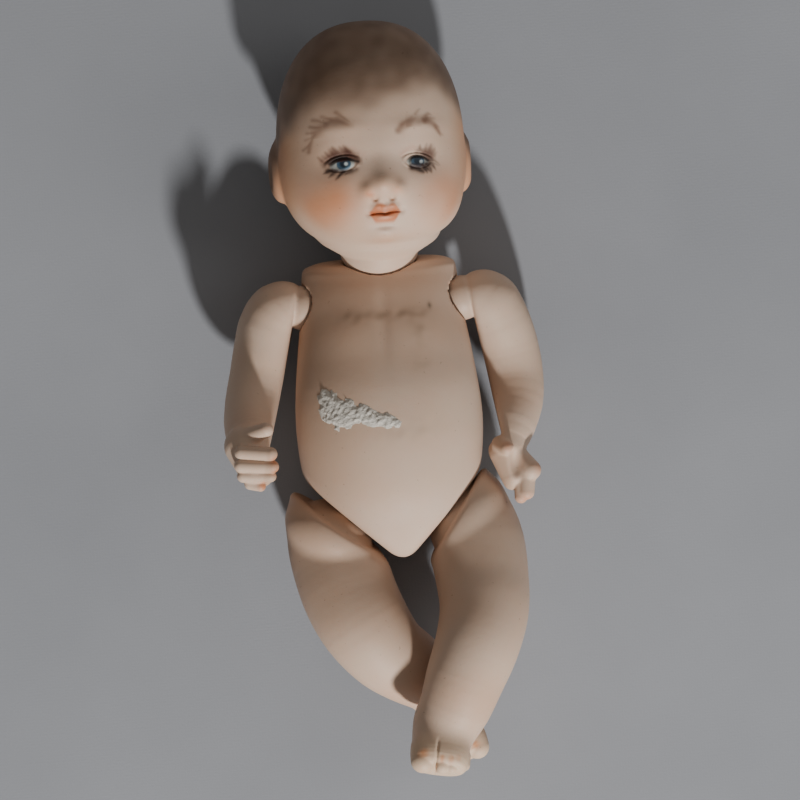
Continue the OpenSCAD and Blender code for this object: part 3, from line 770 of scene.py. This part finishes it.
# Painted strokes on the face: width, strength and points, from root to tip.
BROW = [
    (0.22, 0.6, [(-16.84, 60.21), (-16.53, 61.49), (-15.95, 62.88), (-15.22, 64.0)]),
    (0.16, 0.5, [(-17.97, 60.83), (-17.15, 61.4), (-16.45, 62.2)]),
    (0.16, 0.35, [(-17.36, 62.98), (-16.31, 63.3), (-15.63, 63.77)]),
    (0.16, 0.4, [(-16.94, 64.49), (-15.84, 64.41), (-15.06, 64.51)]),
    (0.18, 0.5, [(-16.2, 65.83), (-15.24, 65.57), (-14.08, 65.49)]),
    (0.2, 0.5, [(-15.51, 67.28), (-14.37, 67.0), (-13.37, 66.48), (-12.61, 66.17)]),
    (0.22, 0.4, [(-13.53, 67.79), (-12.27, 67.31), (-11.27, 66.72)]),
    (0.22, 0.55, [(-10.38, 68.42), (-9.4, 67.64), (-8.42, 66.79), (-7.56, 66.07)]),
    (0.45, 0.55, [(-15.22, 64.0), (-13.84, 65.21), (-12.35, 66.15), (-11.27, 66.72)]),
    (0.6, 0.38, [(-12.35, 66.15), (-10.51, 66.48), (-8.61, 65.95), (-6.97, 65.25)]),
    (0.3, 0.35, [(-10.23, 66.91), (-8.98, 66.17), (-7.62, 65.3)]),
    (0.35, 0.25, [(-10.81, 65.91), (-9.31, 65.22), (-6.88, 64.72)]),
    (0.25, 0.3, [(-11.51, 67.0), (-9.75, 66.23), (-8.01, 65.19)]),
    (0.32, 0.6, [(3.26, 63.5), (4.03, 64.36), (5.01, 65.46)]),
    (0.3, 0.35, [(3.43, 63.23), (4.78, 63.91), (6.38, 64.58)]),
    (0.3, 0.5, [(4.18, 64.74), (5.67, 65.54), (6.77, 66.51)]),
    (0.3, 0.45, [(5.6, 64.64), (6.71, 65.6), (7.52, 66.2)]),
    (0.18, 0.4, [(7.59, 67.1), (8.15, 67.72), (8.84, 68.32)]),
    (0.6, 0.4, [(6.15, 65.12), (8.01, 65.77), (9.46, 66.06)]),
    (0.3, 0.3, [(8.48, 65.09), (9.18, 65.82), (9.5, 66.71)]),
    (0.32, 0.75, [(9.68, 65.52), (10.23, 66.01), (10.51, 66.25)]),
    (0.2, 0.55, [(10.02, 66.67), (10.57, 67.09), (11.46, 66.9)]),
    (0.3, 0.45, [(9.83, 65.78), (11.02, 66.08), (12.18, 66.0)]),
    (0.35, 0.5, [(10.06, 65.37), (11.31, 64.76), (12.29, 63.91)]),
    (0.24, 0.4, [(10.84, 65.44), (11.97, 64.84), (13.33, 63.97)]),
    (0.22, 0.55, [(12.06, 64.32), (12.77, 63.36), (13.33, 62.01)]),
    (0.22, 0.5, [(12.42, 63.9), (13.12, 62.81), (13.99, 62.29)]),
]
LASH = [
    (0.18, 0.75, [(-12.44, 57.3), (-13.73, 57.52), (-14.45, 58.22), (-14.93, 58.77)]),
    (0.16, 0.35, [(-12.59, 57.05), (-13.79, 56.55), (-14.58, 57.32)]),
    (0.18, 0.7, [(-11.76, 57.77), (-12.91, 58.11), (-14.01, 58.97)]),
    (0.2, 0.85, [(-11.23, 57.99), (-12.59, 58.87), (-13.32, 59.7)]),
    (0.3, 0.95, [(-10.57, 58.21), (-11.55, 59.06), (-12.25, 60.15)]),
    (0.22, 0.6, [(-10.16, 58.44), (-11.0, 59.41), (-11.69, 60.76)]),
    (0.2, 0.6, [(-9.4, 58.26), (-10.73, 59.65), (-11.7, 60.5)]),
    (0.22, 0.75, [(-8.74, 58.34), (-9.43, 59.69), (-10.14, 60.65)]),
    (0.22, 0.8, [(-8.48, 58.45), (-8.65, 59.64), (-9.22, 60.79)]),
    (0.22, 0.85, [(-7.71, 58.27), (-8.16, 59.34), (-8.87, 60.3)]),
    (0.24, 0.8, [(-6.69, 58.07), (-7.42, 58.77), (-8.14, 59.6)]),
    (0.24, 0.7, [(-6.11, 57.12), (-6.85, 57.69), (-7.71, 58.27)]),
    (0.14, 0.5, [(7.51, 58.51), (8.02, 59.26), (8.27, 60.15)]),
    (0.14, 0.45, [(8.67, 58.43), (8.33, 59.11), (8.26, 59.89)]),
    (0.16, 0.5, [(9.16, 58.01), (9.5, 59.16), (9.84, 60.3)]),
    (0.18, 0.6, [(9.28, 57.87), (10.24, 58.58), (10.86, 60.1)]),
    (0.35, 0.45, [(10.15, 57.29), (10.61, 58.3), (10.97, 59.83)]),
    (0.2, 0.55, [(9.76, 57.31), (10.85, 58.02), (11.7, 59.13)]),
    (0.3, 0.4, [(9.06, 58.4), (9.93, 57.82), (10.81, 57.5)]),
    (0.14, 0.35, [(10.27, 57.15), (11.33, 57.47), (12.17, 58.45)]),
]
LOWER = [
    (0.22, 0.85, [(-12.05, 55.51), (-13.1, 55.26), (-14.03, 54.93)]),
    (0.22, 0.7, [(-11.03, 55.25), (-11.85, 54.65), (-12.94, 53.95)]),
    (0.28, 0.9, [(-9.62, 55.02), (-10.59, 54.17), (-11.42, 53.32)]),
    (0.2, 0.6, [(-9.37, 54.87), (-10.17, 54.53), (-10.89, 53.54)]),
    (0.3, 0.6, [(-6.75, 55.34), (-7.69, 54.88), (-9.01, 54.45)]),
    (0.24, 0.6, [(-7.93, 55.16), (-8.74, 54.7), (-9.29, 54.21)]),
    (0.3, 0.9, [(-13.09, 55.52), (-11.28, 55.39), (-9.35, 55.13), (-7.4, 55.25)]),
    (0.2, 0.6, [(-11.41, 55.34), (-12.1, 54.8), (-12.65, 54.32)]),
    (0.34, 1.0, [(5.97, 54.97), (6.99, 54.77), (8.61, 53.75)]),
    (0.3, 1.0, [(6.0, 55.36), (7.52, 54.87), (8.75, 53.87)]),
    (0.4, 1.0, [(8.47, 55.45), (9.58, 54.72), (10.31, 54.02)]),
    (0.24, 0.9, [(8.81, 54.78), (9.29, 54.22), (9.51, 53.68)]),
    (0.24, 0.8, [(9.39, 55.65), (10.37, 54.8), (10.55, 53.74)]),
    (0.18, 0.7, [(9.65, 55.76), (10.82, 55.81), (11.63, 54.32)]),
    (0.24, 0.7, [(9.4, 55.78), (10.67, 55.43), (11.39, 54.6)]),
    (0.2, 0.5, [(9.85, 56.66), (11.14, 56.57), (12.01, 56.12), (12.74, 55.41)]),
    (0.2, 0.45, [(9.96, 56.39), (11.22, 55.91), (12.34, 55.31)]),
    (0.24, 0.9, [(5.76, 55.64), (6.77, 55.31), (8.85, 55.42)]),
]
LID = [
    (0.24, 0.85, [(-12.58, 57.18), (-11.63, 57.89), (-10.31, 58.26), (-8.89, 58.16), (-7.89, 57.63), (-6.12, 56.99)]),
    (0.18, 0.75, [(5.55, 56.31), (6.26, 57.3), (7.45, 57.61), (8.85, 57.31), (9.97, 56.58)]),
]
CREASE = [
    (0.3, 0.4, [(-7.25, 60.26), (-6.2, 59.6), (-5.46, 59.03), (-4.8, 58.2)]),
    (0.3, 0.6, [(3.77, 57.86), (4.42, 58.73), (5.36, 59.31), (6.42, 59.63)]),
    (0.14, 0.35, [(6.84, 59.99), (7.04, 59.2), (6.87, 58.56)]),
]


def brushed(x, y, strokes, seed, even=False, wider=2.1):
    """How strongly each point is covered by tapering strokes."""
    r = np.random.default_rng(seed)
    cover = np.zeros(len(x))
    for width, strength, points in strokes:
        line = curve([(a, b, 0) for a, b in points], 0.12)[:, :2]
        n = len(line)
        t = np.linspace(0, 1, n)
        half = wider * width * (np.interp(t, (0, 0.15, 1), (0.8, 1.0, 1.0)) if even else np.interp(t, (0, 0.25, 1), (1.0, 1.0, 0.4)))
        fade = strength * (np.ones(n) if even else np.interp(t, (0, 0.6, 1), (1, 0.9, 0.45)))
        half = half * (1 + 0.12 * r.normal(size=n).cumsum() / math.sqrt(n))
        near = (x > line[:, 0].min() - 1) & (x < line[:, 0].max() + 1) & (y > line[:, 1].min() - 1) & (y < line[:, 1].max() + 1)
        if not near.any():
            continue
        px, py = x[near][:, None], y[near][:, None]
        d = np.hypot(px - line[:, 0], py - line[:, 1]) / half
        a = (np.exp(-(d**2) * 1.1) * fade).max(1)
        cover[near] = 1 - (1 - cover[near]) * (1 - a)
    return cover


def head():
    low, high = (-27, 28, -0.5), (25, 94, 49)
    face = ((-19, 36, 33), (18, 72, 50))
    fine = ((-19.5, 42, 34), (16, 70, 50))
    points, faces = surface(head_field, low, high, 0.5, closer=[face, fine])
    q = head_space(points)
    x, y, z = q.T
    front = smoothstep(28, 36, z)
    # Brown airbrushed hair: a soft cap with a widow's peak.
    edge = 69.3 + 1.6 * smoothstep(2, 12, -x - 3) + 4.4 * smoothstep(2, 14, x + 3) - 6.5 * smoothstep(12, 22, np.abs(x + 1.2))
    edge += 0.8 * wobble(q, 4, 11)
    behind = smoothstep(30, 20, z)
    hair = smoothstep(-2.6, 4.6, y - edge + behind * 14)
    hair = np.maximum(hair, 0.9 * behind * smoothstep(44, 54, y) * smoothstep(19, 10, z))
    nape = smoothstep(40, 46, y)
    cheeks = bell(x, y, -13.8, 48.2, 7.6, 6.2) + 0.85 * bell(x, y, 13.6, 48.2, 6.6, 6.2)
    nx, ny = NOSE
    nose = 0.55 * bell(x, y, nx, ny + 1.2, 5.0, 2.6) + 0.8 * (bell(x, y, nx - 3.4, ny - 0.7, 1.2, 1.1) + 0.6 * bell(x, y, nx + 3.2, ny - 0.4, 1.2, 1.0))
    nostril = bell(x, y, nx - 3.2, ny - 0.9, 0.9, 0.6) + 0.5 * bell(x, y, nx + 2.6, ny - 0.4, 0.9, 0.6)
    chin = bell(x, y, 0.2, 37.5, 6.5, 2.6)
    ears = smoothstep(18.5, 22.5, np.abs(x + 1.2)) * smoothstep(40, 46, y) * smoothstep(72, 60, y) * smoothstep(14, 22, z)
    temples = smoothstep(16, 21, np.abs(x + 1.2)) * smoothstep(44, 50, y) * smoothstep(78, 64, y)
    lx, ly = LIPS
    u, v = x - lx, y - ly
    top = 1.95 - 0.65 * np.exp(-(((u - 0.4) / 0.8) ** 2)) - 1.9 * smoothstep(1.6, 3.9, np.abs(u))
    bottom = -2.15 + 2.1 * smoothstep(1.9, 3.9, np.abs(u + 0.1))
    lips = smoothstep(-0.5, 0.4, top - v) * smoothstep(-0.5, 0.45, v - bottom) * smoothstep(4.4, 3.3, np.abs(u))
    mid = 0.05 * u - 0.4 * np.exp(-((u / 0.9) ** 2)) - 0.05
    line = np.exp(-(((v - mid) / 0.5) ** 2)) * smoothstep(4.0, 3.0, np.abs(u))
    # painted highlights on the lips, where light glints on them
    painted_lip_highlight = bell(u, v, -0.2, -1.3, 1.3, 0.35) + 0.7 * bell(u, v, 0.3, 0.95, 0.8, 0.4)
    layers = [
        (linear(212, 188, 172), 0.3 * front * bell(x, y, -1, 60, 16, 10)),
        # painted shade: the head darker towards -x, the side turned from the lamp
        (linear(164, 124, 94), 0.34 * smoothstep(2, -18, x) * smoothstep(34, 44, y)),
        (linear(196, 146, 104), 0.60 * temples * (1 - hair)),
        (linear(190, 122, 78), 0.86 * front * cheeks * (0.9 + 0.15 * wobble(q, 5, 2))),
        (linear(204, 146, 98), 0.60 * front * nose),
        (linear(190, 106, 62), 0.55 * front * nostril),
        (linear(200, 138, 92), 0.66 * front * chin),
        (linear(208, 144, 104), 0.42 * ears),
        (linear(112, 88, 70), 0.86 * hair * nape * (0.94 + 0.06 * wobble(q, 2.5, 7))),
        (linear(192, 110, 64), 0.88 * front * lips * (0.95 + 0.08 * wobble(q, 0.8, 9))),
        (linear(160, 80, 40), 0.5 * front * lips * line),
        # painted lip highlights
        (linear(232, 170, 140), 0.55 * front * lips * painted_lip_highlight),
        (linear(112, 78, 58), 0.95 * front * brushed(x, y, BROW, 1, wider=2.5)),
        (linear(196, 150, 128), 0.5 * front * brushed(x, y, CREASE, 4, True))]
    for (ex, ey), w, h, tilt in EYES:
        u, v = x - ex, (y - ey) - tilt * (x - ex)
        eye = smoothstep(1.12, 0.9, np.sqrt((u / w) ** 2 + (v / h) ** 2))
        ix, iy = (-9.38, 56.69) if ex < 0 else (7.42, 56.45)
        s, t = (x - ix) / 1.62, (y - iy) / 1.5
        iris = smoothstep(1.1, 0.86, np.hypot(s, t)) * eye
        layers += [
            (linear(176, 184, 180), 0.9 * front * eye),
            (linear(52, 84, 108), 0.97 * front * iris),
            (linear(96, 128, 146), 0.45 * front * iris * smoothstep(0.2, 0.9, np.hypot(s, t)) * smoothstep(0.2, -0.9, t)),
            (linear(18, 30, 42), 0.9 * front * smoothstep(0.85, 0.45, np.hypot(s * 1.15, t - 0.12))),
            (linear(20, 26, 32), 0.8 * front * iris * smoothstep(0.2, 0.9, t)),
            (linear(220, 232, 236), 0.95 * front * np.exp(-(((x - (ix + (0.5 if ex < 0 else 0.84))) / 0.42) ** 2 + ((y - iy - (0.02 if ex < 0 else -0.2)) / 0.42) ** 2) ** 2))]
    layers += [
        (linear(74, 36, 20), front * brushed(x, y, LASH, 2, wider=4.2)),
        (linear(40, 18, 10), front * brushed(x, y, LOWER, 3)),
        (linear(30, 20, 16), front * brushed(x, y, LID, 5, True))]
    colours = toned(SKIN, layers)
    return mesh("head_porcelain", points, faces, BISQUE, "head", ["head"], colours=colours)


# ---- glue left on the belly ----
# The dried glue, as blobs along its length: x, y, radius.
GLUE = [(-14.6, 4.0, 1.7), (-13.4, 2.0, 3.0), (-11.2, 0.4, 3.3), (-8.8, -0.3, 2.5), (-6.4, -0.2, 2.1),
        (-3.7, -1.1, 1.8), (-1.0, -1.9, 1.6), (1.4, -2.4, 0.9)]


def glue_field(p):
    line = curve([(x, y, 0, r) for x, y, r in GLUE], 0.8)
    edge = np.full(len(p), 9.0)
    for x, y, _, r in line:
        edge = np.minimum(edge, np.hypot(p[:, 0] - x, p[:, 1] - y) - r)
    edge = edge + 0.45 * wobble(p, 1.3, 21) + 0.2 * wobble(p, 0.5, 22)
    height = 0.45 * smoothstep(0.3, -1.0, edge) * (0.9 + 0.2 * wobble(p, 0.7, 23) + 0.1 * wobble(p, 0.4, 24))
    skin = torso_outside(p)
    return smax(smax(skin - height, -skin - 0.35, 0.1), edge - 0.25, 0.2)


def crust_material():
    m = Nodes("dried_glue")
    lumps = m.span(m.noise(900, 6, 0.65), 0.3, 0.7, 0.0, 1.0)
    m.set(Base_Color=m.mix(tuple(linear(190, 184, 172)), tuple(linear(222, 217, 207)), lumps), Roughness=m.span(lumps, 0, 1, 0.62, 0.8))
    m.bump([(lumps, 0.00022), (m.noise(3000, 3), 0.00005)])
    return m.material


def glue():
    points, faces = surface(glue_field, (-20, -7, 24), (4, 10, 33), 0.22)
    mesh("glue_crust", points, faces, crust_material(), "torso")


torso()
for which in (1, -1):
    leg(which)
    arm(which)
head()
glue()

# ---- inner pieces keep their CAD shape ----
for name, node in frame["nodes"].items():
    if name in ("torso", "head", "left_arm", "right_arm", "left_leg", "right_leg"):
        continue
    material = BRASS if "hook" in name or "ring" in name else ELASTIC
    material = BEECH if name == "neck_bar" else SLIP if name.endswith("_bar") else material
    node.data.materials.clear()
    node.data.materials.append(material)

# ---- table, lights and camera ----
def table():
    n = 60
    grid = np.linspace(-600, 600, n)
    points = np.array([(a, b, -0.03) for b in grid for a in grid])
    faces = [(j * n + i, j * n + i + 1, (j + 1) * n + i + 1, (j + 1) * n + i) for j in range(n - 1) for i in range(n - 1)]
    data = bpy.data.meshes.new("table")
    data.from_pydata((points * MM).tolist(), [], faces)
    data.materials.append(cloth_material())
    piece = bpy.data.objects.new("table", data)
    bpy.context.scene.collection.objects.link(piece)


def lamp(name, toward, size, power, colour=(1.0, 0.97, 0.93)):
    """A soft lamp aimed at the doll, LAMP_DISTANCE away in the given direction."""
    data = bpy.data.lights.new(name, "AREA")
    data.shape = "DISK"
    data.size = size
    data.energy = power
    data.color = colour
    lamp_object = bpy.data.objects.new(name, data)
    bpy.context.scene.collection.objects.link(lamp_object)
    t = np.array(toward, float)
    t /= np.linalg.norm(t)
    lamp_object.location = Vector(t * LAMP_DISTANCE)
    lamp_object.rotation_mode = "QUATERNION"
    lamp_object.rotation_quaternion = Vector(t).to_track_quat("Z", "Y")


LAMP_DISTANCE = 1.4
KEY_POWER = 25.0
FILL_POWER = 3.0
AMBIENT = 0.18

table()
lamp("key_at_the_feet", (0.15, -0.86, 0.49), 0.10, KEY_POWER, (1.0, 0.98, 0.96))
lamp("fill_on_the_left_side", (0.85, 0.1, 0.55), 0.9, FILL_POWER, (1.0, 0.97, 0.94))
world = bpy.data.worlds.new("studio")
bpy.context.scene.world = world
world.use_nodes = True
world.node_tree.nodes["Background"].inputs["Color"].default_value = (1.0, 0.96, 0.92, 1.0)
world.node_tree.nodes["Background"].inputs["Strength"].default_value = AMBIENT

view = bpy.data.cameras.new("camera")
view.sensor_width = 36.0
view.lens = 18.0 / math.tan(math.radians(17.96 / 2))
view.clip_start, view.clip_end = 0.01, 10.0
camera = bpy.data.objects.new("camera", view)
bpy.context.scene.collection.objects.link(camera)
camera.location = (2.55 * MM, 2.68 * MM, 615 * MM)
camera.rotation_euler = (0.0, 0.0, math.radians(-3.81))
bpy.context.scene.camera = camera
